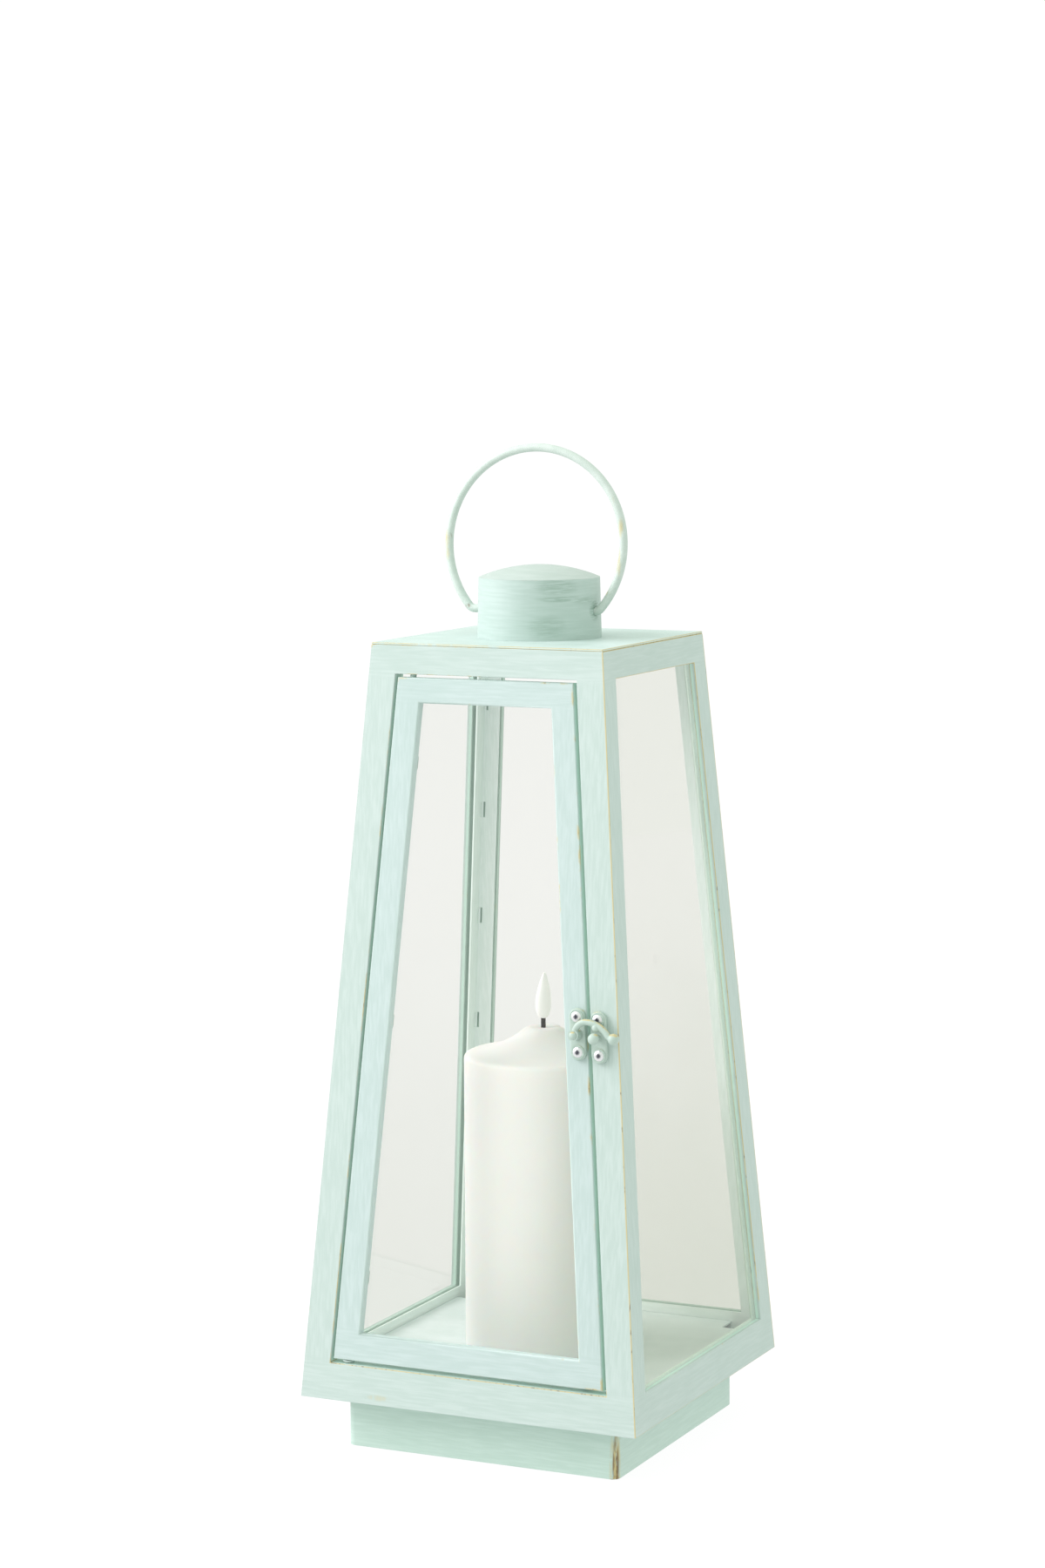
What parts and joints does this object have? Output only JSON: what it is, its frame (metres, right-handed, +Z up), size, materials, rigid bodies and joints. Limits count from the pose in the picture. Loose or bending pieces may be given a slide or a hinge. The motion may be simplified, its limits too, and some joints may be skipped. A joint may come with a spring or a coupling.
{
  "type": "candle lantern",
  "caption": "Tapering square sheet-metal lantern with clear panes, a hinged latched door, a round chimney, a swinging ring handle and a flameless pillar candle standing inside.",
  "frame": {"origin": "centre of the plinth's underside, on the surface that the lantern stands on", "axes": "+Z up; the door faces -Y; +X is the latch side; the handle pivots along X"},
  "size_m": [0.176, 0.176, 0.4828],
  "materials": {
    "painted_sheet": "pale mint brushed paint, ochre rub-through on the edges",
    "clear_glass": "clear polished",
    "painted_casting": "pale mint paint over a rough casting",
    "zinc_screw": "bright zinc",
    "steel_pin": "painted over steel",
    "painted_wire": "pale mint paint, worn in spots",
    "ivory_wax": "smooth ivory wax",
    "white_plastic": "moulded",
    "battery_jacket": "printed jacket, left plain",
    "contact_metal": "nickel plated",
    "board_laminate": "solder mask",
    "led_epoxy": "clear epoxy",
    "frosted_bulb": "frosted translucent",
    "dark_wick": "black braid",
    "dark_plastic": "moulded"
  },
  "bodies": {
    "housing": {"plinth": "painted_sheet", "bottom_plate": "painted_sheet", "floor_plate": "painted_sheet", "front_frame": "painted_sheet", "door_stop": "painted_sheet", "right_panel": "painted_sheet", "right_glass": "clear_glass", "right_retainer": "painted_sheet", "back_panel": "painted_sheet", "back_glass": "clear_glass", "back_retainer": "painted_sheet", "left_panel": "painted_sheet", "left_glass": "clear_glass", "left_retainer": "painted_sheet", "top_plate": "painted_sheet", "chimney": "painted_sheet", "chimney_cap": "painted_sheet", "catch_plate": "painted_casting", "catch_stud": "painted_casting", "catch_screws": "zinc_screw"},
    "door": {"door_frame": "painted_sheet", "door_glass": "clear_glass", "door_glass_tabs": "painted_sheet", "lower_hinge_pin": "steel_pin", "upper_hinge_pin": "steel_pin", "latch_plate": "painted_casting", "latch_screws": "zinc_screw", "latch_rivet": "painted_casting"},
    "latch": {"latch_hook": "painted_casting"},
    "handle": {"handle_ring": "painted_wire"},
    "candle": {"candle_wax": "ivory_wax", "candle_core": "white_plastic", "battery_cover": "white_plastic", "batteries": "battery_jacket", "battery_contacts": "contact_metal", "circuit_board": "board_laminate", "led": "led_epoxy", "flame_bulb": "frosted_bulb", "wick": "dark_wick"},
    "switch": {"switch_slider": "dark_plastic"}
  },
  "joints": [
    {"name": "door_hinge", "type": "hinge", "parent": "housing", "child": "door", "pos_m": [-0.05192, -0.06973, 0.21164], "axis": [-0.0766, -0.0766, -0.9941], "range_deg": [0, 120]},
    {"name": "latch_pivot", "type": "hinge", "parent": "door", "child": "latch", "pos_m": [0.0534, -0.07892, 0.2121], "axis": [0, -0.997, 0.0768], "range_deg": [0, 150]},
    {"name": "handle_pivot", "type": "hinge", "parent": "housing", "child": "handle", "pos_m": [0, 0, 0.4029], "axis": [1, 0, 0], "range_deg": [-97.05, 102.55]},
    {"name": "candle_lift", "type": "slide", "parent": "housing", "child": "candle", "axis": [0, 0, 1], "range_m": [0, 0.06]},
    {"name": "switch_slide", "type": "slide", "parent": "candle", "child": "switch", "axis": [1, 0, 0], "range_m": [0, 0.003]}
  ]
}
